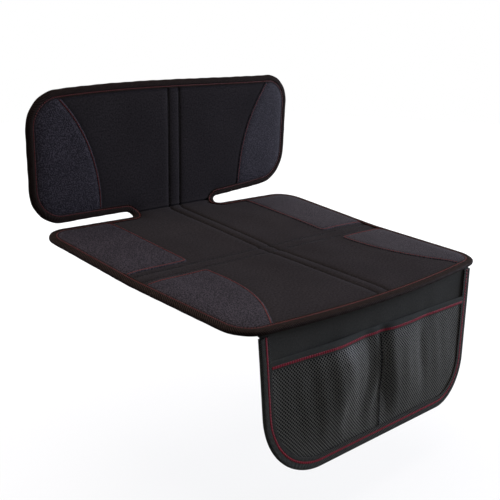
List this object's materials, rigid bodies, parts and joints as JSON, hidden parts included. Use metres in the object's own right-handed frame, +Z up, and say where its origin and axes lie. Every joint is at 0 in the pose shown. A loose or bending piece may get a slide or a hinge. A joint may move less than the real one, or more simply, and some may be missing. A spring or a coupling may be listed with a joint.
{
  "type": "car seat protector mat",
  "caption": "Padded seat protector mat with a backrest, grained corner panels and a front flap with mesh pockets.",
  "frame": {"origin": "on the flat underside of the seat's rear half, in its middle", "axes": "+X to the right of a person sitting on the mat's seat facing -Y, as seen from the front; +Y towards the backrest and square to its rear face; +Z up"},
  "size_m": [0.4828, 0.3941, 0.4356],
  "materials": {
    "black_fabric": "matt woven black",
    "grained_leatherette": "fine-grained, satin, dark purple-grey",
    "binding_tape": "ribbed folded tape, near black",
    "red_thread": "dark red sewing thread",
    "black_thread": "black sewing thread",
    "flap_fabric": "smooth woven, dark grey",
    "pocket_net": "open knitted net, dark grey"
  },
  "bodies": {
    "root": {"mat_body": "black_fabric", "mat_binding": "binding_tape", "mat_edge_stitching": "red_thread", "front_flap": "flap_fabric", "mesh_pockets": "pocket_net", "pocket_hem": "pocket_net", "flap_binding": "binding_tape", "flap_edge_stitching": "red_thread", "pocket_hem_stitching": "red_thread", "pocket_divider_stitching": "black_thread", "backrest_panel_right": "grained_leatherette", "backrest_panel_stitching_right": "red_thread", "backrest_panel_left": "grained_leatherette", "backrest_panel_stitching_left": "red_thread", "rear_panel_right": "grained_leatherette", "rear_panel_stitching_right": "red_thread", "rear_panel_left": "grained_leatherette", "rear_panel_stitching_left": "red_thread", "front_panel_right": "grained_leatherette", "front_panel_stitching_right": "red_thread", "front_panel_left": "grained_leatherette", "front_panel_stitching_left": "red_thread"}
  },
  "joints": []
}
